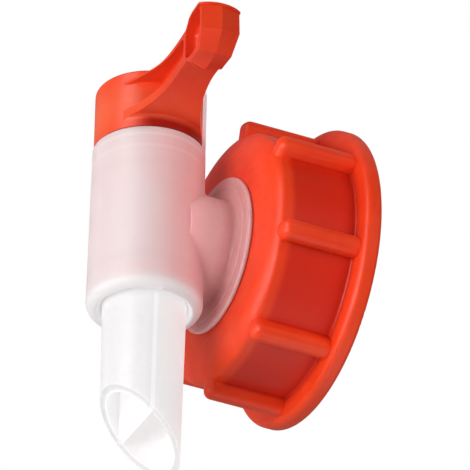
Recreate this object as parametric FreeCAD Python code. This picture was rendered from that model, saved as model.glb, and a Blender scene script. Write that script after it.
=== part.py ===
import FreeCAD, Part
import os
import math

# Drum drain tap: a moulded tap body with an oblique divided spout, a rotary plug with a
# side lever, and a ribbed union cap that swivels on the body's neck and screws on the drum.
#
# Frame: origin at the centre of the cap's mouth, +Y out of the mouth towards the drum,
# +Z up along the barrel (lever on top, spout below). Millimetres.
# Depths called "y" below are measured from the barrel's axis towards the drum.

# ---------------------------------------------------------------- driving dimensions
MOUTH = 48.6            # barrel axis to the cap's mouth plane

# barrel and spout
BORE_R = 12.60          # bore that the plug turns in
RIM_Z = 25.0            # top rim of the barrel
BARREL_R_TOP = 14.80
BARREL_R_LOW = 15.20
LIP_Z = -22.7           # rounded lower lip
STEP_Z = -20.0          # floor of the bore
SPOUT_R_TOP = 10.93
SPOUT_R_END = 10.41
SPOUT_BORE_TOP = 9.20
SPOUT_BORE_END = 8.95
SPOUT_LONG_Z = -67.9    # tip of the oblique cut, on the drum side
SPOUT_SHORT_Z = -48.5   # short side of the cut, facing away from the drum
SPOUT_TILT = 2.9        # the cut also leans a little towards the lever's side, in degrees
PART_Y = -1.6           # centre of the wall that divides the spout
PART_T = 1.2
PORT_R = 7.5            # opening from the neck into the bore

# neck and collar
NECK_R = 14.5
NECK_BORE_R = 11.2
COLLAR_R = 21.0
COLLAR_FRONT = 19.45
COLLAR_BACK = 20.5
STUB_R = 13.5           # part of the neck that the cap turns on
STUB_END = 28.8
BEAD_R = 14.5

# stop wall on the barrel's rim
STOP_R_IN = 12.85
STOP_R_OUT = 14.75
STOP_FROM, STOP_TO = 48.0, 104.0   # degrees from +X towards +Y
STOP_Z = 43.3

# plug, hub and lever
PLUG_R = 12.55
PLUG_HOLLOW_R = 9.0
PLUG_FLOOR_Z = -19.7
HUB_R = 14.5
HUB_Z0 = 25.3
HUB_Z1 = 42.3
HUB_ROOF = 2.6
NOTCH_FROM, NOTCH_TO = 46.5, 195.5
LEVER_AZ = -4.0         # direction of the lever, closed, from +X
WEB = 1.1               # half thickness of the lever's middle web
GRIP_NEAR, GRIP_FAR = 5.1, 5.5   # half widths of the grip's facets on its two sides
GRIP_TOP = 42.85
RING_Z = (14.5, -13.5)  # heights of the two plug seals
RING_R, RING_D = 11.60, 1.94
RING_GROOVE_R, RING_GROOVE_W = 10.60, 2.5
SNAP_Z, SNAP_R = 23.2, 12.95

# union cap
CAP_FRONT = 20.8
CAP_WEB = 2.6
CAP_HOLE_R = 13.9
CAP_R = 33.9
SHOULDER_R, SHOULDER_Y = 7.0, 3.1
THREAD_R = 30.6         # root of the internal thread
THREAD_END = 28.9       # where the thread's wall steps in to the gasket's seat
SEAT_R = 29.3
FLANGE_R = 40.2
FLANGE_Y = 43.9
RIBS = 8
RIB_FIRST = -14.5
RIB_W = 5.4
RIB_TOP = 38.2
RIB_START = 22.3

# gasket
GASKET_IN, GASKET_OUT = 13.55, 28.6
GASKET_Y0, GASKET_T = 23.7, 2.5

V = FreeCAD.Vector
X, Y, Z = V(1, 0, 0), V(0, 1, 0), V(0, 0, 1)
AXIS = V(0, -MOUTH, 0)
os.makedirs("parts", exist_ok=True)


def wire(start, steps, place):
    """Closed wire from 2-D steps: ("l", p), ("a", through, p) or ("s", [points])."""
    edges, here = [], start
    for s in steps:
        if s[0] == "l":
            edges.append(Part.makeLine(place(here), place(s[1])))
            here = s[1]
        elif s[0] == "a":
            edges.append(Part.Arc(place(here), place(s[1]), place(s[2])).toShape())
            here = s[2]
        else:
            curve = Part.BSplineCurve()
            curve.interpolate([place(q) for q in [here] + s[1]])
            edges.append(curve.toShape())
            here = s[1][-1]
    if here != start:
        edges.append(Part.makeLine(place(here), place(start)))
    return Part.Wire(edges)


def turned_z(start, steps):
    """Solid turned about the barrel's axis from (radius, height)."""
    face = Part.Face(wire(start, steps, lambda q: V(q[0], -MOUTH, q[1])))
    return face.revolve(AXIS, Z, 360)


def turned_y(start, steps):
    """Solid turned about the cap's axis from (radius, y)."""
    face = Part.Face(wire(start, steps, lambda q: V(q[0], q[1] - MOUTH, 0)))
    return face.revolve(V(0, 0, 0), Y, 360)


def cyl_z(r, z0, z1):
    return Part.makeCylinder(r, z1 - z0, V(0, -MOUTH, z0), Z)


def cyl_y(r, y0, y1):
    return Part.makeCylinder(r, y1 - y0, V(0, y0 - MOUTH, 0), Y)


def sector(r0, r1, z0, z1, a0, a1):
    """Piece of a ring about the barrel's axis between two azimuths."""
    p = [V(r0, -MOUTH, z0), V(r1, -MOUTH, z0), V(r1, -MOUTH, z1), V(r0, -MOUTH, z1)]
    s = Part.Face(Part.makePolygon(p + [p[0]])).revolve(AXIS, Z, a1 - a0)
    s.rotate(AXIS, Z, a0)
    return s


def rounded(shape, edges, r):
    return shape.makeFillet(r, edges) if edges else shape


def solid(shape):
    s = shape.removeSplitter()
    return s.Solids[0] if len(s.Solids) == 1 else s


def save(shape, name):
    s = solid(shape)
    assert s.isValid() and len(s.Solids) == 1, (name, s.isValid(), len(s.Solids))
    s.exportStep("parts/%s.step" % name)


# ---------------------------------------------------------------- tap body
outer = turned_z((0, -72), [
    ("l", (SPOUT_R_END, -72)),
    ("l", (SPOUT_R_END, SPOUT_LONG_Z)),
    ("l", (SPOUT_R_TOP, -21.6)),
    ("a", (SPOUT_R_TOP + 0.32, -21.05), (SPOUT_R_TOP + 0.72, -21.5)),
    ("l", (12.25, -22.45)),
    ("a", (12.60, -22.68), (13.00, LIP_Z)),
    ("a", (14.62, -21.72), (BARREL_R_LOW, -19.7)),
    ("l", (BARREL_R_TOP, RIM_Z - 0.35)),
    ("a", (BARREL_R_TOP - 0.11, RIM_Z - 0.10), (BARREL_R_TOP - 0.36, RIM_Z)),
    ("l", (0, RIM_Z))])
neck = turned_y((0, 6), [
    ("l", (NECK_R, 6)),
    ("l", (NECK_R, 17.7)),
    ("a", (NECK_R + 0.22, 18.25), (NECK_R + 0.75, 18.55)),
    ("l", (COLLAR_R - 0.55, COLLAR_FRONT - 0.22)),
    ("a", (COLLAR_R - 0.12, COLLAR_FRONT + 0.02), (COLLAR_R, COLLAR_FRONT + 0.42)),
    ("l", (COLLAR_R, COLLAR_BACK - 0.25)),
    ("l", (COLLAR_R - 0.25, COLLAR_BACK)),
    ("l", (STUB_R, COLLAR_BACK)),
    ("l", (STUB_R, 26.35)),
    ("l", (BEAD_R - 0.1, 26.55)),
    ("a", (BEAD_R, 26.85), (BEAD_R - 0.1, 27.15)),
    ("l", (STUB_R - 0.5, STUB_END)),
    ("l", (0, STUB_END))])
# fine raised ring on the collar's face
k = (COLLAR_FRONT - 0.22 - 18.55) / (COLLAR_R - 0.55 - NECK_R - 0.75)
ring_y = lambda r: 18.55 + k * (r - NECK_R - 0.75)
fine = turned_y((17.95, ring_y(17.95) + 0.3), [
    ("l", (17.95, ring_y(17.95))),
    ("a", (18.2, ring_y(18.2) - 0.24), (18.45, ring_y(18.45))),
    ("l", (18.45, ring_y(18.45) + 0.3))])

body = outer.fuse(neck)
saddle = []
for e in body.Edges:
    c = e.valueAt((e.FirstParameter + e.LastParameter) / 2)
    d = e.valueAt(e.FirstParameter * 0.7 + e.LastParameter * 0.3)
    on_neck = all(abs(math.hypot(q.x, q.z) - NECK_R) < 0.02 for q in (c, d))
    on_barrel = all(14.7 < math.hypot(q.x, q.y + MOUTH) < 15.3 for q in (c, d))
    if on_neck and on_barrel:
        saddle.append(e)
body = rounded(body, saddle, 1.5)
body = body.fuse(fine)

# stop wall: the barrel's wall carried up behind the lever
stop = sector(STOP_R_IN, STOP_R_OUT, RIM_Z - 3, STOP_Z, STOP_FROM, STOP_TO)
corners = [e for e in stop.Edges
           if all(abs(v.Z - STOP_Z) < 1e-6 for v in e.Vertexes) and e.Length < 2.5]
stop = rounded(stop, corners, 2.4)
body = body.fuse(stop)

# bore, its snap groove, neck passage and port
bore = turned_z((0, STEP_Z), [
    ("l", (BORE_R, STEP_Z)), ("l", (BORE_R, SNAP_Z - 0.85)),
    ("l", (SNAP_R + 0.08, SNAP_Z - 0.75)), ("l", (SNAP_R + 0.08, SNAP_Z + 0.75)),
    ("l", (BORE_R, SNAP_Z + 0.85)), ("l", (BORE_R, RIM_Z - 0.4)),
    ("l", (BORE_R + 0.3, RIM_Z)), ("l", (BORE_R + 0.3, RIM_Z + 0.01)),
    ("l", (0, RIM_Z + 0.01))])
body = body.cut(bore)
body = body.cut(cyl_y(NECK_BORE_R, 16.4, STUB_END + 1))
body = body.cut(cyl_y(PORT_R, 2, 18))

# spout passage, divided by an upright wall, then the oblique cut
passage = turned_z((0, -75), [
    ("l", (SPOUT_BORE_END, -75)), ("l", (SPOUT_BORE_END, SPOUT_LONG_Z)),
    ("l", (SPOUT_BORE_TOP, STEP_Z - 1.2)), ("l", (SPOUT_BORE_TOP + 1.2, STEP_Z)),
    ("l", (SPOUT_BORE_TOP + 1.2, STEP_Z + 1)), ("l", (0, STEP_Z + 1))])
wall = Part.makeBox(24, PART_T, 60, V(-12, PART_Y - PART_T / 2 - MOUTH, STEP_Z - 60 - 0.0))
body = body.cut(passage.cut(wall))
slope = (SPOUT_LONG_Z - SPOUT_SHORT_Z) / (SPOUT_R_END * 2)
cut_z = lambda y: SPOUT_SHORT_Z + slope * (y + SPOUT_R_END)
tool = Part.Face(Part.makePolygon([V(-15, y - MOUTH, z) for y, z in (
    (-16, cut_z(-16)), (16, cut_z(16)), (16, -95), (-16, -95), (-16, cut_z(-16)))]))
tool = tool.extrude(V(30, 0, 0))
tool.rotate(V(0, -MOUTH, (SPOUT_SHORT_Z + SPOUT_LONG_Z) / 2), Y, -SPOUT_TILT)
body = body.cut(tool)
save(body, "tap_body")

# ---------------------------------------------------------------- rotary plug with lever
# lever modelled along +X from the barrel's axis, then turned to its closed direction
PL = lambda q: V(q[0], q[1] - MOUTH, 25.0)
half = [(9.3, 11.1), (11.4, 9.95), (14.8, 8.45), (18.2, 7.0), (22.2, 5.75), (26.8, 4.92), (32.8, 4.5), (37.0, 4.52), (41.5, 4.6)]
edges = []
for sgn in (1, -1):
    c = Part.BSplineCurve()
    c.interpolate([PL((x, sgn * w)) for x, w in half])
    edges.append(c.toShape())
first, last = half[0], half[-1]
plan = Part.Wire([
    edges[0], Part.makeLine(PL(last), PL((last[0], -last[1]))), edges[1],
    Part.makeLine(PL((first[0], -first[1])), PL((6.0, -first[1]))),
    Part.makeLine(PL((6.0, -first[1])), PL((6.0, first[1]))),
    Part.makeLine(PL((6.0, first[1])), PL(first))])
plan = Part.Face(plan).extrude(V(0, 0, 20))

SIDE = lambda q: V(q[0], -20 - MOUTH, q[1])
under = [(13.0, 28.35), (16.0, 28.5), (18.2, 28.85), (22.2, 29.45), (26.8, 30.15), (30.5, 30.9), (33.5, 31.3), (37.5, 31.35), (41.5, 31.2)]
above = [(41.5, 42.3), (38.2, 41.85), (35.5, 41.6), (32.8, 41.3), (30.0, 40.9), (26.8, 40.25), (22.2, 39.45), (16.0, 39.2), (13.0, 39.2)]
side = wire((6.0, 28.35), [
    ("l", under[0]), ("s", under[1:]), ("l", above[0]), ("s", above[1:]), ("l", (6.0, 39.2))], SIDE)
side = Part.Face(side).extrude(V(0, 40, 0))
arm = plan.common(side)

# faceted grip: side and middle outlines joined by flat facets, then trimmed to its section
# (narrower at the bottom) and to its plan (flaring out from the arm)
near = [(36.3, 41.4), (39.6, 42.3), (48.65, 42.3), (49.0, 34.9), (45.9, 30.0), (39.0, 30.5), (36.3, 32.3)]
ridge = [(36.3, 41.4), (39.6, 42.3), (50.2, 42.3), (50.5, 34.8), (46.5, 29.8), (39.2, 29.0), (36.3, 30.9)]
far = [(36.3, 41.4), (39.6, 42.3), (48.25, 42.3), (48.8, 35.6), (45.8, 30.1), (39.0, 30.5), (36.3, 32.3)]
loops = []
for y, pts in ((-GRIP_NEAR, near), (0, ridge), (GRIP_FAR, far)):
    q = [V(a, y - MOUTH, b) for a, b in pts]
    loops.append(Part.makePolygon(q + [q[0]]))
grip = Part.makeLoft(loops, True, True)
section = [(GRIP_FAR, 44.0), (GRIP_FAR, 35.6), (4.5, 30.1), (4.6, 26.0),
           (-4.6, 26.0), (-4.45, 30.0), (-GRIP_NEAR, 34.9), (-GRIP_NEAR, 44.0)]
q = [V(30, y - MOUTH, z) for y, z in section]
grip = grip.common(Part.Face(Part.makePolygon(q + [q[0]])).extrude(V(30, 0, 0)))

# top plate of the grip: thin, a little wider than the facets, with a rounded end
flare = [(35.0, 4.47), (37.2, 4.72), (39.3, 5.1), (42.0, 5.52), (45.3, 5.72), (48.2, 5.8)]
edges = []
for sgn in (1, -1):
    c = Part.BSplineCurve()
    c.interpolate([PL((x, sgn * w)) for x, w in flare])
    edges.append(c.toShape())
first, last = flare[0], flare[-1]
grip_plan = Part.Face(Part.Wire([
    edges[0], Part.Arc(PL(last), PL((50.25, 0)), PL((last[0], -last[1]))).toShape(), edges[1],
    Part.makeLine(PL((first[0], -first[1])), PL(first))])).extrude(V(0, 0, 20))
plate = [(35.6, 40.6), (35.6, 41.45), (39.6, GRIP_TOP), (51.0, GRIP_TOP), (51.0, 42.15), (39.9, 42.15), (37.5, 41.2)]
q = [V(x, -20 - MOUTH, z) for x, z in plate]
plate = Part.Face(Part.makePolygon(q + [q[0]])).extrude(V(0, 40, 0)).common(grip_plan)
arm = arm.fuse([grip.common(grip_plan.fuse(Part.makeBox(20, 20, 20, V(42, -10 - MOUTH, 25)))), plate])

# pockets on both sides of the web: one between the lever's plates, one dish in the grip
def pocket(corners, floor_r, sgn):
    """Tool from outline corners (x, z, corner radius), rounded where it meets the web."""
    steps, start, n = [], None, len(corners)
    for i, (x, z, r) in enumerate(corners):
        p, c, q = corners[i - 1][:2], (x, z), corners[(i + 1) % n][:2]
        if not r:
            steps.append(("l", c))
            start = start or c
            continue
        u = [(a - b) for a, b in zip(p, c)]
        w = [(a - b) for a, b in zip(q, c)]
        lu, lw = math.hypot(*u), math.hypot(*w)
        u, w = [a / lu for a in u], [a / lw for a in w]
        half_angle = math.acos(max(-1, min(1, u[0] * w[0] + u[1] * w[1]))) / 2
        t, far = r / math.tan(half_angle), r / math.sin(half_angle)
        m = [a + b for a, b in zip(u, w)]
        lm = math.hypot(*m)
        m = [a / lm for a in m]
        p0 = (x + u[0] * t, z + u[1] * t)
        p1 = (x + w[0] * t, z + w[1] * t)
        mid = (x + m[0] * (far - r), z + m[1] * (far - r))
        steps += [("l", p0), ("a", mid, p1)]
        start = start or p0
    face = Part.Face(wire(start, steps[1:], lambda q: V(q[0], sgn * WEB - MOUTH, q[1])))
    s = face.extrude(V(0, sgn * 14, 0))
    floor = [e for e in s.Edges
             if all(abs(v.Y + MOUTH - sgn * WEB) < 1e-6 for v in e.Vertexes)]
    return s.makeFillet(floor_r, floor)


for sgn, out in ((1, -0.5), (-1, 0.0)):
    arm = arm.cut(pocket([
        (5.0, 30.6, 0), (15.5, 30.9, 12), (24.0, 32.4, 20), (34.7, 34.6, 1.7),
        (34.7, 40.5, 1.7), (27.0, 39.2, 15), (5.0, 38.1, 0)], 1.6, sgn))
    arm = arm.cut(pocket([
        (36.1, 31.9, 3.4), (41.5, 31.5, 8), (45.6 + out, 31.7 - out, 4.0), (47.7 + out, 36.4, 6),
        (47.5 + out, 42.15, 1.5), (40.2, 42.15, 8), (36.1, 40.7, 1.5)], 1.45, sgn))

hub = turned_z((0, HUB_Z0), [
    ("l", (HUB_R, HUB_Z0)), ("l", (HUB_R, HUB_Z1 - 0.6)),
    ("a", (HUB_R - 0.18, HUB_Z1 - 0.18), (HUB_R - 0.6, HUB_Z1)),
    ("l", (11.0, HUB_Z1)), ("l", (10.6, HUB_Z1 - 0.7)), ("l", (0, HUB_Z1 - 0.7))])
arm.rotate(AXIS, Z, LEVER_AZ)
plug = hub.fuse(arm)
feet = []
for e in plug.Edges:
    q = [e.valueAt(e.FirstParameter + t * (e.LastParameter - e.FirstParameter)) for t in (0.25, 0.5, 0.75)]
    if all(abs(math.hypot(p.x, p.y + MOUTH) - HUB_R) < 0.02 and 28.0 < p.z < 28.7 for p in q):
        feet.append(e)
try:
    plug = rounded(plug, feet, 1.2)
except Exception:
    pass
plug = plug.cut(sector(PLUG_R, HUB_R + 2, HUB_Z0 - 1, HUB_Z1 + 2, NOTCH_FROM, NOTCH_TO))
g = RING_GROOVE_W / 2
stem = [("l", (PLUG_R - 0.5, PLUG_FLOOR_Z)), ("l", (PLUG_R, PLUG_FLOOR_Z + 0.7))]
for z in sorted(RING_Z):
    stem += [("l", (PLUG_R, z - g)), ("l", (RING_GROOVE_R, z - g)),
             ("l", (RING_GROOVE_R, z + g)), ("l", (PLUG_R, z + g))]
stem += [("l", (PLUG_R, SNAP_Z - 0.75)), ("l", (SNAP_R, SNAP_Z - 0.6)),
         ("l", (SNAP_R, SNAP_Z + 0.6)), ("l", (PLUG_R, SNAP_Z + 0.75)),
         ("l", (PLUG_R, HUB_Z0 + 1)), ("l", (0, HUB_Z0 + 1))]
stem = turned_z((0, PLUG_FLOOR_Z), stem)
plug = plug.fuse(stem)
hollow = turned_z((0, PLUG_FLOOR_Z - 1), [
    ("l", (PLUG_HOLLOW_R + 0.2, PLUG_FLOOR_Z - 1)), ("l", (PLUG_HOLLOW_R, HUB_Z1 - 0.7 - HUB_ROOF - 1.5)),
    ("a", (PLUG_HOLLOW_R - 0.44, HUB_Z1 - 0.7 - HUB_ROOF - 0.44), (PLUG_HOLLOW_R - 1.5, HUB_Z1 - 0.7 - HUB_ROOF)),
    ("l", (0, HUB_Z1 - 0.7 - HUB_ROOF))])
plug = plug.cut(hollow)
# side window of the plug: faces away from the lever, so it meets the port when the lever points forward
window = Part.makeCylinder(PORT_R, 20, AXIS, V(-1, 0, 0))
plug = plug.cut(window)
save(plug, "rotary_plug_lever")

# ---------------------------------------------------------------- plug seals
for name, z in (("upper_plug_o_ring", RING_Z[0]), ("lower_plug_o_ring", RING_Z[1])):
    save(Part.makeTorus(RING_R, RING_D / 2, V(0, -MOUTH, z), Z), name)

# ---------------------------------------------------------------- union cap
n = 12
arc = [(CAP_R - SHOULDER_R + SHOULDER_R * math.sin(math.pi / 2 * i / n),
        CAP_FRONT + SHOULDER_Y - SHOULDER_Y * math.cos(math.pi / 2 * i / n)) for i in range(1, n + 1)]
cap = turned_y((CAP_HOLE_R, CAP_FRONT + 0.3), [
    ("l", (CAP_HOLE_R + 0.3, CAP_FRONT)),
    ("l", (CAP_R - SHOULDER_R, CAP_FRONT)),
    ("s", arc),
    ("l", (CAP_R, FLANGE_Y - 0.7)),
    ("a", (CAP_R + 0.2, FLANGE_Y - 0.2), (CAP_R + 0.7, FLANGE_Y)),
    ("l", (FLANGE_R - 1.7, FLANGE_Y)),
    ("a", (FLANGE_R - 0.5, FLANGE_Y + 0.5), (FLANGE_R, FLANGE_Y + 1.7)),
    ("l", (FLANGE_R, MOUTH - 1.2)),
    ("a", (FLANGE_R - 0.35, MOUTH - 0.35), (FLANGE_R - 1.2, MOUTH)),
    ("l", (THREAD_R + 0.6, MOUTH)),
    ("l", (THREAD_R, MOUTH - 0.6)),
    ("l", (THREAD_R, THREAD_END)),
    ("l", (SEAT_R, THREAD_END)),
    ("l", (SEAT_R, CAP_FRONT + CAP_WEB + 0.5)),
    ("l", (SEAT_R - 0.5, CAP_FRONT + CAP_WEB)),
    ("l", (CAP_HOLE_R, CAP_FRONT + CAP_WEB))])
rib = Part.makeBox(RIB_TOP - 32.0, FLANGE_Y + 1.0 - RIB_START, RIB_W, V(32.0, RIB_START - MOUTH, -RIB_W / 2))
round_edges = []
for e in rib.Edges:
    c = e.valueAt((e.FirstParameter + e.LastParameter) / 2)
    top = abs(c.x - RIB_TOP) < 1e-6
    front = abs(c.y + MOUTH - RIB_START) < 1e-6
    if (top and not abs(c.y + MOUTH - FLANGE_Y - 1.0) < 1e-6) or (front and abs(abs(c.z) - RIB_W / 2) < 1e-6):
        round_edges.append(e)
rib = rounded(rib, round_edges, 2.2)
for i in range(RIBS):
    r = rib.copy()
    r.rotate(V(0, 0, 0), Y, -(RIB_FIRST + i * 360.0 / RIBS))
    cap = cap.fuse(r)
save(cap, "screw_cap")

# ---------------------------------------------------------------- gasket
save(turned_y((GASKET_IN, GASKET_Y0), [
    ("l", (GASKET_OUT - 0.25, GASKET_Y0)), ("l", (GASKET_OUT, GASKET_Y0 + 0.25)),
    ("l", (GASKET_OUT, GASKET_Y0 + GASKET_T - 0.25)), ("l", (GASKET_OUT - 0.25, GASKET_Y0 + GASKET_T)),
    ("l", (GASKET_IN, GASKET_Y0 + GASKET_T))]), "neck_gasket")
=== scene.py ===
import math

import bpy
import bmesh
from mathutils import Matrix, Vector


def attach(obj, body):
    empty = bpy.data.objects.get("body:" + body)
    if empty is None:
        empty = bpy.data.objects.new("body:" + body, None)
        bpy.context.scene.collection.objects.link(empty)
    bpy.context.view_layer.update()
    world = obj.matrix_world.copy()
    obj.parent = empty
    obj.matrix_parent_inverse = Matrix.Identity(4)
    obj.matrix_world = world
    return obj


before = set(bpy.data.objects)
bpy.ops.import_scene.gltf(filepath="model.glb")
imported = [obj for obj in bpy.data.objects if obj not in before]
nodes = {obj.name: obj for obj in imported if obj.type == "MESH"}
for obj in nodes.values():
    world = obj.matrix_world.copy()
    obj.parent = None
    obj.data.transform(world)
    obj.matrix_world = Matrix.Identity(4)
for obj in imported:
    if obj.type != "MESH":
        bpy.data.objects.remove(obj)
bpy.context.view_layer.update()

MM = 0.001
AXIS_Y = -0.0486  # the barrel's axis, at x = 0
scene = bpy.context.scene
scene.view_settings.view_transform = "Standard"


# ------------------------------------------------------------------ node helpers
class Graph:
    """A material's nodes, made and linked in one call each."""

    def __init__(self, name):
        self.mat = bpy.data.materials.new(name)
        self.mat.use_nodes = True
        self.tree = self.mat.node_tree
        self.bsdf = next(n for n in self.tree.nodes if n.type == "BSDF_PRINCIPLED")
        self.place = self.add("ShaderNodeTexCoord").outputs["Object"]

    def add(self, kind, **values):
        n = self.tree.nodes.new(kind)
        for k, v in values.items():
            setattr(n, k, v)
        return n

    def link(self, a, b):
        self.tree.links.new(a, b)

    def put(self, socket, value):
        if isinstance(value, bpy.types.NodeSocket):
            self.link(value, socket)
        else:
            socket.default_value = value

    def noise(self, scale, detail=2.0, rough=0.5, stretch=None, at=(0, 0, 0)):
        n = self.add("ShaderNodeTexNoise")
        n.inputs["Scale"].default_value = scale
        n.inputs["Detail"].default_value = detail
        n.inputs["Roughness"].default_value = rough
        m = self.add("ShaderNodeMapping")
        m.inputs["Location"].default_value = at
        m.inputs["Scale"].default_value = stretch or (1, 1, 1)
        self.link(self.place, m.inputs["Vector"])
        self.link(m.outputs["Vector"], n.inputs["Vector"])
        return n.outputs["Fac"]

    def span(self, value, a, b, c=0.0, d=1.0, smooth=True):
        n = self.add("ShaderNodeMapRange", clamp=True)
        n.interpolation_type = "SMOOTHSTEP" if smooth else "LINEAR"
        self.put(n.inputs["Value"], value)
        for key, v in (("From Min", a), ("From Max", b), ("To Min", c), ("To Max", d)):
            n.inputs[key].default_value = v
        return n.outputs["Result"]

    def math(self, op, a, b=0.5, c=0.5):
        n = self.add("ShaderNodeMath", operation=op)
        for socket, value in zip(n.inputs, (a, b, c)):
            self.put(socket, value)
        return n.outputs[0]

    def mix(self, fac, a, b, blend="MIX"):
        n = self.add("ShaderNodeMix", data_type="RGBA", blend_type=blend)
        self.put(n.inputs["Factor"], fac)
        self.put([s for s in n.inputs if s.name == "A" and s.type == "RGBA"][0], a)
        self.put([s for s in n.inputs if s.name == "B" and s.type == "RGBA"][0], b)
        return [s for s in n.outputs if s.type == "RGBA"][0]

    def xyz(self):
        n = self.add("ShaderNodeSeparateXYZ")
        self.link(self.place, n.inputs[0])
        return n.outputs

    def bump(self, height, strength, distance, under=None):
        n = self.add("ShaderNodeBump")
        n.inputs["Strength"].default_value = strength
        n.inputs["Distance"].default_value = distance
        self.link(height, n.inputs["Height"])
        if under is not None:
            self.link(under, n.inputs["Normal"])
        return n.outputs["Normal"]


def c4(r, g, b):
    return (r, g, b, 1.0)


# ------------------------------------------------------------------ materials
def orange_plastic(name, rough, peel, seed, shine, dark, light, streak, zone):
    """Pigmented moulded plastic: flow marks, a fine moulded texture and light handling marks.
    The zone function adds colour by place: painted shade on the cap, and on the lever a painted highlight, a
    painted shadow and a deeper arm."""
    g = Graph(name)
    flow = g.noise(38, 3, 0.55, (1, 1, 0.45), (seed, 0, 0))
    cloud = g.noise(260, 2, 0.5, None, (0, seed, 0))
    base = g.mix(g.span(flow, 0.32, 0.70), dark, light)
    base = g.mix(g.span(cloud, 0.35, 0.75, 0.0, 0.22), base, streak)
    base = zone(g, base)
    g.link(base, g.bsdf.inputs["Base Color"])
    rub = g.noise(120, 4, 0.6, (1, 1, 6), (seed, seed, 0))
    g.link(g.span(rub, 0.3, 0.75, rough - 0.05, rough + 0.08), g.bsdf.inputs["Roughness"])
    skin = g.noise(3600, 2, 0.6)
    wave = g.noise(210, 1, 0.4, None, (0, 0, seed))
    scratch = g.noise(900, 2, 0.7, (0.08, 1, 1), (0, seed, seed))
    n = g.bump(wave, 0.10, 0.0004)
    n = g.bump(g.span(scratch, 0.66, 0.74), 0.05, 0.00008, n)
    n = g.bump(skin, peel, 0.00006, n)
    g.link(n, g.bsdf.inputs["Normal"])
    s = g.bsdf.inputs
    s["Subsurface Weight"].default_value = 0.16
    s["Subsurface Radius"].default_value = (1.0, 0.30, 0.12)
    s["Subsurface Scale"].default_value = 0.0016
    s["IOR"].default_value = 1.48
    s["Specular IOR Level"].default_value = shine
    return g.mat


def cap_painted_shade(g, base):
    """Painted shade: the wall between the ribs is painted darker than the ribs and the flange."""
    x, y, z = g.xyz()
    reach = g.math("SQRT", g.math("ADD", g.math("MULTIPLY", x, x), g.math("MULTIPLY", z, z)))
    wall = g.math("MULTIPLY", g.span(reach, 0.0341, 0.0352, 1.0, 0.0), g.span(y, -0.0238, -0.0215))
    base = g.mix(g.math("MULTIPLY", wall, 0.9), base, c4(0.620, 0.0180, 0.0045))
    # and the corner where the wall meets the flange gets painted shade, darker still
    root = g.math("MULTIPLY", g.span(reach, 0.0345, 0.0372, 1.0, 0.0), g.span(y, -0.0078, -0.0036))
    return g.mix(g.math("MULTIPLY", root, 0.55), base, c4(0.480, 0.0130, 0.0035))


def lever_highlight_and_shade(g, base):
    """The hub is a thin wall over the hollow plug; it gets a painted highlight, lighter and more orange than the
    arm, most of all on its -x side.
    """
    x, y, z = g.xyz()
    off = g.math("ADD", y, -AXIS_Y)
    reach = g.math("SQRT", g.math("ADD", g.math("MULTIPLY", x, x), g.math("MULTIPLY", off, off)))
    hub = g.math("MULTIPLY", g.span(reach, 0.0150, 0.0300, 1.0, 0.0), g.span(z, 0.0250, 0.0310, 0.5, 1.0))
    hub = g.math("MULTIPLY", hub, g.span(x, -0.0080, 0.0160, 1.0, 0.35))
    hub = g.math("MULTIPLY", hub, g.span(z, 0.0335, 0.0412, 1.0, 0.25))
    base = g.mix(hub, base, c4(0.890, 0.135, 0.048))
    # the arm and grip take a deeper, darker colour, growing away from the hub
    base = g.mix(g.span(reach, 0.0190, 0.0330, 0.0, 0.45), base, c4(0.640, 0.0310, 0.0090))
    # painted shadow where the arm's root overhangs the foot of the hub
    foot = g.math("MULTIPLY", g.span(z, 0.0268, 0.0290, 1.0, 0.0), g.span(x, 0.0, 0.0060))
    foot = g.math("MULTIPLY", foot, g.span(off, -0.0115, -0.0050))
    return g.mix(g.math("MULTIPLY", foot, 0.92), base, c4(0.280, 0.0050, 0.0020))


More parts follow.
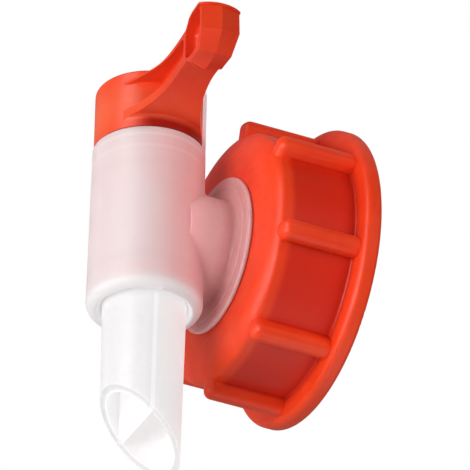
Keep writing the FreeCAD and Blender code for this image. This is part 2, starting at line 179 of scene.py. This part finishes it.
def natural_plastic(name):
    """Uncoloured translucent plastic. The red plug and cap behind it show through as a pink tint, which follows
    where they are; on the barrel's side towards the cap and on the neck the pink is deepened by painted shade and
    a painted reflection of the red cap, and most of all the collar is pink. The empty spout stays white, with a
    painted glow for light through its walls."""
    g = Graph(name)
    x, y, z = g.xyz()
    white, pink, deep = c4(0.66, 0.65, 0.654), c4(0.76, 0.38, 0.375), c4(0.635, 0.280, 0.272)
    inside = g.span(z, -0.0232, -0.0172)  # the plug ends above the lip
    rim = g.span(z, 0.0222, 0.0252, 1.0, 0.72)
    wall = g.span(z, 0.0262, 0.0330, 1.0, 0.30)  # the stop wall stands clear of the plug
    tint = g.math("MULTIPLY", g.math("MULTIPLY", inside, rim), wall)
    top = g.span(z, -0.0330, -0.0215, 0.0, 0.16)  # light from the barrel runs down the spout
    tint = g.math("MAXIMUM", tint, top)
    # pinker towards the cap: the plug showing through, with painted shade and a painted reflection of the red cap
    side = g.span(y, -0.0620, -0.0400, 0.30, 0.95)
    drift = g.noise(55, 2, 0.5, (1, 1, 0.5))
    side = g.math("MULTIPLY", side, g.span(drift, 0.25, 0.75, 0.82, 1.12))
    tint = g.math("MULTIPLY", tint, side)
    base = g.mix(tint, white, pink)
    seal = None
    for at in (0.0145, -0.0135):  # the two black seals, faint through the wall
        lo = g.span(z, at - 0.0022, at - 0.0006)
        hi = g.span(z, at + 0.0006, at + 0.0022, 1.0, 0.0)
        band = g.math("MULTIPLY", lo, hi)
        seal = band if seal is None else g.math("MAXIMUM", seal, band)
    on_barrel = g.span(y, -0.0345, -0.0335, 1.0, 0.0)
    seal = g.math("MULTIPLY", g.math("MULTIPLY", seal, on_barrel), 0.05)
    base = g.mix(seal, base, c4(0.45, 0.36, 0.36))
    # the plug's snap ridge, seen through the wall as two faint rings below the rim
    for at, half, k, tone in ((0.0228, 0.00035, 0.20, c4(0.86, 0.80, 0.80)), (0.0214, 0.0003, 0.14, c4(0.70, 0.50, 0.50)),
                              (0.0193, 0.0004, 0.12, c4(0.86, 0.78, 0.78))):
        lo = g.span(z, at - 2 * half, at - 0.4 * half)
        hi = g.span(z, at + 0.4 * half, at + 2 * half, 1.0, 0.0)
        ring = g.math("MULTIPLY", g.math("MULTIPLY", lo, hi), k)
        base = g.mix(g.math("MULTIPLY", ring, on_barrel), base, tone)
    # the side that faces the cap sees less light
    hidden = g.math("MULTIPLY", g.span(y, -0.0425, -0.0345), tint)
    base = g.mix(g.math("MULTIPLY", hidden, 0.55), base, c4(0.50, 0.265, 0.26))
    # deeper pink near the cap: the cap shows through the collar, and on the neck this is painted shade and a
    # painted reflection of the red cap
    near_cap = g.span(y, -0.0360, -0.0300)
    base = g.mix(g.math("MULTIPLY", near_cap, 0.92), base, deep)
    # painted light: the collar's foot is painted a lighter pink and, further on, given a painted glow
    low = g.math("MULTIPLY", near_cap, g.span(z, -0.0270, -0.0150, 1.0, 0.0))  # the collar's foot
    base = g.mix(g.math("MULTIPLY", low, 0.5), base, c4(0.74, 0.36, 0.35))
    edge = g.span(y, -0.02925, -0.02905)  # the collar's thin edge, lit through
    base = g.mix(g.math("MULTIPLY", edge, 0.45), base, c4(0.85, 0.62, 0.62))
    # the wall that divides the spout, seen through it as a pale line; the rear half gets painted shade
    below = g.span(z, -0.0235, -0.0215, 1.0, 0.0)
    web_lo = g.span(y, -0.05095, -0.05055)
    web_hi = g.span(y, -0.04985, -0.04945, 1.0, 0.0)
    web = g.math("MULTIPLY", g.math("MULTIPLY", web_lo, web_hi), below)
    rear = g.math("MULTIPLY", g.span(y, -0.04985, -0.0492), below)
    off = g.math("ADD", y, -AXIS_Y)
    reach = g.math("SQRT", g.math("ADD", g.math("MULTIPLY", x, x), g.math("MULTIPLY", off, off)))
    # in the spout the base colour is dimmed; its white comes from the painted glow below
    spout = g.math("MULTIPLY", g.span(z, -0.0206, -0.0198, 1.0, 0.0), g.span(reach, 0.0122, 0.0130, 1.0, 0.0))
    base = g.mix(spout, base, c4(0.40, 0.397, 0.402))
    # painted shade on the spout's rear half
    base = g.mix(g.math("MULTIPLY", rear, 0.5), base, c4(0.42, 0.395, 0.395))
    base = g.mix(g.math("MULTIPLY", web, 0.22), base, c4(0.77, 0.77, 0.77))
    cloud = g.noise(700, 3, 0.6)
    base = g.mix(g.span(cloud, 0.35, 0.7, 0.0, 0.05), base, c4(0.74, 0.70, 0.70))
    g.link(base, g.bsdf.inputs["Base Color"])
    rub = g.noise(150, 4, 0.6, (1, 1, 0.3))
    g.link(g.span(rub, 0.3, 0.75, 0.34, 0.46), g.bsdf.inputs["Roughness"])
    draw = g.noise(500, 2, 0.6, (1, 1, 0.04))  # drawn marks along the mould's pull
    skin = g.noise(3000, 2, 0.6)
    n = g.bump(draw, 0.06, 0.00012)
    n = g.bump(skin, 0.05, 0.00005, n)
    g.link(n, g.bsdf.inputs["Normal"])
    s = g.bsdf.inputs
    s["Subsurface Weight"].default_value = 1.0
    s["Subsurface Radius"].default_value = (1.0, 0.96, 0.95)
    s["Subsurface Scale"].default_value = 0.006
    # painted glow for light that comes through the thin walls from behind: most in the empty spout
    thin = g.math("MAXIMUM", g.span(z, 0.0262, 0.0290, 0.31, 0.56), g.span(z, -0.0235, -0.0205, 0.48, 0.31))
    thin = g.math("MULTIPLY", thin, g.span(y, -0.0345, -0.0305, 1.0, 0.25))
    # painted glow at the collar's foot
    thin = g.math("MULTIPLY_ADD", low, 0.20, thin)
    # painted glow on the spout's inner faces, as if lit from all round
    core = g.span(reach, 0.0092, 0.0100, 1.0, 0.0)
    shell = g.span(y, -0.0575, -0.0400, 0.79, 0.95)
    lit = g.math("MULTIPLY_ADD", core, g.math("SUBTRACT", 0.95, shell), shell)
    # and a little less painted glow on its slanting cut edge
    slant = g.math("MULTIPLY_ADD", y, 0.9318, 0.1034855)
    slant = g.math("ADD", slant, g.math("MULTIPLY_ADD", x, -0.0507, z))
    cut = g.span(g.math("ABSOLUTE", slant), 0.00003, 0.00012, 0.62, 1.0)
    lit = g.math("MULTIPLY", lit, cut)
    thin = g.math("ADD", g.math("MULTIPLY", g.math("SUBTRACT", 1.0, spout), thin), g.math("MULTIPLY", spout, lit))
    through = g.mix(spout, base, c4(1.0, 0.99, 0.995))
    g.link(g.mix(thin, c4(0, 0, 0), through), s["Emission Color"])
    s["Emission Strength"].default_value = 0.50
    s["IOR"].default_value = 1.46
    s["Specular IOR Level"].default_value = 0.4
    return g.mat


def rubber(name, colour, lighter, rough, grain):
    g = Graph(name)
    spots = g.noise(grain, 3, 0.6)
    g.link(g.mix(g.span(spots, 0.35, 0.75), colour, lighter), g.bsdf.inputs["Base Color"])
    g.link(g.span(g.noise(grain * 0.3, 3, 0.6), 0.3, 0.7, rough - 0.06, rough + 0.08), g.bsdf.inputs["Roughness"])
    g.link(g.bump(spots, 0.25, 0.0001), g.bsdf.inputs["Normal"])
    return g.mat


cap_mat = orange_plastic("cap_plastic", 0.40, 0.10, 3.1, 0.38,
                         c4(0.810, 0.042, 0.0075), c4(0.870, 0.056, 0.0100), c4(0.90, 0.076, 0.015), cap_painted_shade)
lever_mat = orange_plastic("lever_plastic", 0.36, 0.06, 7.7, 0.40,
                           c4(0.810, 0.050, 0.0110), c4(0.870, 0.066, 0.0150), c4(0.90, 0.084, 0.021), lever_highlight_and_shade)
body_mat = natural_plastic("natural_plastic")
ring_mat = rubber("seal_rubber", c4(0.018, 0.018, 0.019), c4(0.035, 0.035, 0.036), 0.45, 2600)
foam_mat = rubber("seal_foam", c4(0.66, 0.66, 0.63), c4(0.80, 0.80, 0.77), 0.80, 1500)


def dress(name, mat):
    o = nodes[name]
    o.data.materials.clear()
    o.data.materials.append(mat)


for name, mat in (("screw_cap", cap_mat), ("rotary_plug_lever", lever_mat), ("tap_body", body_mat),
                  ("upper_plug_o_ring", ring_mat), ("lower_plug_o_ring", ring_mat), ("neck_gasket", foam_mat)):
    dress(name, mat)


# ------------------------------------------------------------------ cap thread
def thread(name, root, crest, pitch, y0, y1, steps=96):
    """A right-handed ridge wound inside the cap, fading out at both ends."""
    turns = (y1 - y0) / pitch
    count = int(turns * steps) + 1
    half, flat = pitch * 0.30, pitch * 0.10
    bm = bmesh.new()
    rings = []
    for i in range(count + 1):
        t = i / count
        ang = 2 * math.pi * turns * t
        y = y0 + (y1 - y0) * t
        run = min(t, 1 - t) * turns * 6  # full height after a sixth of a turn
        k = min(1.0, max(0.0, run)) ** 0.6
        top = root - (root - crest) * k - 0.0001 * MM
        section = [(root + 0.12 * MM, -half), (root, -half * (0.35 + 0.65 * k)),
                   (top + 0.12 * MM * k, -flat * k - 0.05 * MM), (top, -flat * k * 0.6), (top, flat * k * 0.6),
                   (top + 0.12 * MM * k, flat * k + 0.05 * MM), (root, half * (0.35 + 0.65 * k)),
                   (root + 0.12 * MM, half)]
        rings.append([bm.verts.new((r * math.sin(ang), y + d, r * math.cos(ang))) for r, d in section])
    n = len(rings[0])
    for a, b in zip(rings, rings[1:]):
        for j in range(n):
            bm.faces.new((a[j], a[(j + 1) % n], b[(j + 1) % n], b[j]))
    bm.faces.new(rings[0])
    bm.faces.new(list(reversed(rings[-1])))
    bmesh.ops.recalc_face_normals(bm, faces=bm.faces)
    mesh = bpy.data.meshes.new(name)
    bm.to_mesh(mesh)
    bm.free()
    o = bpy.data.objects.new(name, mesh)
    scene.collection.objects.link(o)
    for p in mesh.polygons:
        p.use_smooth = True
    mesh.set_sharp_from_angle(angle=math.radians(40))
    mesh.materials.append(cap_mat)
    return o


ridge = thread("cap_inner_thread", 30.6 * MM, 29.05 * MM, 4.0 * MM, -0.0182, -0.0018)
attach(ridge, "cap")

# ------------------------------------------------------------------ camera
a, e, roll = math.radians(65.345), math.radians(-30.957), math.radians(1.806)
DIST, PX = 2.2017, 0.26 * MM
back = Vector((math.sin(a) * math.cos(e), -math.cos(a) * math.cos(e), math.sin(e)))
right = Vector((math.cos(a), math.sin(a), 0.0))
up = back.cross(right)
right2 = math.cos(roll) * right + math.sin(roll) * up
up2 = -math.sin(roll) * right + math.cos(roll) * up
origin = Vector((0, AXIS_Y, 0.00437))
eye = origin + DIST * back
aim = origin + PX * (88.156 * right2 - 12.188 * up2)
zc = (eye - aim).normalized()
xc = (right2 - zc * right2.dot(zc)).normalized()
yc = zc.cross(xc)
cam_data = bpy.data.cameras.new("camera")
cam_data.sensor_width = 36.0
cam_data.lens = 648.6
cam_data.clip_start, cam_data.clip_end = 0.05, 30.0
cam = bpy.data.objects.new("camera", cam_data)
scene.collection.objects.link(cam)
cam.matrix_world = Matrix((
    (xc.x, yc.x, zc.x, eye.x), (xc.y, yc.y, zc.y, eye.y), (xc.z, yc.z, zc.z, eye.z), (0, 0, 0, 1)))
scene.camera = cam


# ------------------------------------------------------------------ light and stage
middle = Vector((0.005, -0.030, -0.010))


def soft_light(name, toward, dist, size, power, colour=(1, 1, 1), glossy=True):
    d = Vector(toward).normalized()
    data = bpy.data.lights.new(name, "AREA")
    data.shape = "RECTANGLE"
    data.size, data.size_y = size
    data.energy = power
    data.color = colour
    o = bpy.data.objects.new(name, data)
    scene.collection.objects.link(o)
    o.visible_glossy = glossy
    o.location = middle + d * dist
    o.rotation_mode = "QUATERNION"
    o.rotation_quaternion = d.to_track_quat("Z", "Y")
    return o


soft_light("key", -0.60 * right + 0.72 * back + 0.20 * up, 1.5, (1.0, 0.9), 18.2)
soft_light("side", -1.0 * right + 0.25 * back + 0.0 * up, 1.5, (0.7, 0.7), 7.5)
soft_light("under", 0.1 * right + 0.35 * back - 1.0 * up, 1.5, (0.9, 0.9), 2.2, glossy=False)
soft_light("low", -1.0 * right + 0.2 * back - 0.45 * up, 1.5, (1.0, 1.0), 1.0, glossy=False)
table = soft_light("table", 0.25 * right + 0.45 * back - 0.85 * up, 1.5, (1.3, 1.3), 3.5)
strip = soft_light("strip", -0.64 * right + 0.28 * back + 0.72 * up, 1.5, (0.8, 0.8), 7.5)
for o in (table, strip):
    o.visible_diffuse = False  # only their soft reflections
soft_light("fill", 0.75 * right + 0.5 * back + 0.5 * up, 1.5, (1.0, 1.0), 10.5, glossy=False)
soft_light("top", -0.51 * back + 0.86 * up, 1.5, (1.1, 1.1), 4.0, glossy=False)
soft_light("rear", -1.0 * back + 0.35 * right + 0.1 * up, 1.5, (1.2, 1.2), 7.0, glossy=False)

BACKDROP, ROOM, SHEEN = (0.1, 0.75, 0.62), 0.04, 0.35

world = bpy.data.worlds.new("studio")
scene.world = world
world.use_nodes = True
wt = world.node_tree
wt.nodes.clear()
out = wt.nodes.new("ShaderNodeOutputWorld")
mixer = wt.nodes.new("ShaderNodeMixShader")
path = wt.nodes.new("ShaderNodeLightPath")
dim = wt.nodes.new("ShaderNodeBackground")
dim.inputs["Color"].default_value = (1, 1, 1, 1)
full = wt.nodes.new("ShaderNodeBackground")
full.inputs["Color"].default_value = (1, 1, 1, 1)
full.inputs["Strength"].default_value = 1.0
# the white backdrop lights the tap from behind; the rest of the room is dim
sky = wt.nodes.new("ShaderNodeTexCoord")
facing = wt.nodes.new("ShaderNodeVectorMath")
facing.operation = "DOT_PRODUCT"
facing.inputs[1].default_value = -back
glow = wt.nodes.new("ShaderNodeMapRange")
glow.interpolation_type = "SMOOTHSTEP"
for key, v in (("From Min", BACKDROP[0]), ("From Max", BACKDROP[1]), ("To Min", ROOM), ("To Max", BACKDROP[2])):
    glow.inputs[key].default_value = v
wt.links.new(sky.outputs["Generated"], facing.inputs[0])
wt.links.new(facing.outputs["Value"], glow.inputs["Value"])
mirror = wt.nodes.new("ShaderNodeMath")  # reflections see less of it
mirror.operation = "MULTIPLY_ADD"
mirror.inputs[1].default_value = SHEEN - 1.0
mirror.inputs[2].default_value = 1.0
wt.links.new(path.outputs["Is Glossy Ray"], mirror.inputs[0])
level = wt.nodes.new("ShaderNodeMath")
level.operation = "MULTIPLY"
wt.links.new(glow.outputs["Result"], level.inputs[0])
wt.links.new(mirror.outputs[0], level.inputs[1])
wt.links.new(level.outputs[0], dim.inputs["Strength"])
wt.links.new(path.outputs["Is Camera Ray"], mixer.inputs["Fac"])
wt.links.new(dim.outputs[0], mixer.inputs[1])
wt.links.new(full.outputs[0], mixer.inputs[2])
wt.links.new(mixer.outputs[0], out.inputs["Surface"])

# pale floor, well below the tap, which hangs in the air as photographed
floor_mesh = bpy.data.meshes.new("floor")
bm = bmesh.new()
bmesh.ops.create_grid(bm, x_segments=1, y_segments=1, size=9.0)
bm.to_mesh(floor_mesh)
bm.free()
floor = bpy.data.objects.new("floor", floor_mesh)
floor.location = (0, 0, -3.6)
scene.collection.objects.link(floor)
pale = bpy.data.materials.new("floor_pale")
pale.use_nodes = True
ft = pale.node_tree
ground = next(n for n in ft.nodes if n.type == "BSDF_PRINCIPLED")
ground.inputs["Base Color"].default_value = (0.9, 0.9, 0.9, 1)
ground.inputs["Roughness"].default_value = 0.9
lift = ft.nodes.new("ShaderNodeEmission")  # brings the wide floor up to the backdrop's white
lift.inputs["Strength"].default_value = 0.42
seen = ft.nodes.new("ShaderNodeLightPath")
plain = ft.nodes.new("ShaderNodeAddShader")
which = ft.nodes.new("ShaderNodeMixShader")
ft.links.new(ground.outputs[0], plain.inputs[0])
ft.links.new(lift.outputs[0], plain.inputs[1])
ft.links.new(seen.outputs["Is Camera Ray"], which.inputs[0])
ft.links.new(ground.outputs[0], which.inputs[1])
ft.links.new(plain.outputs[0], which.inputs[2])
ft.links.new(which.outputs[0], next(n for n in ft.nodes if n.type == "OUTPUT_MATERIAL").inputs["Surface"])
floor_mesh.materials.append(pale)

bpy.context.view_layer.update()
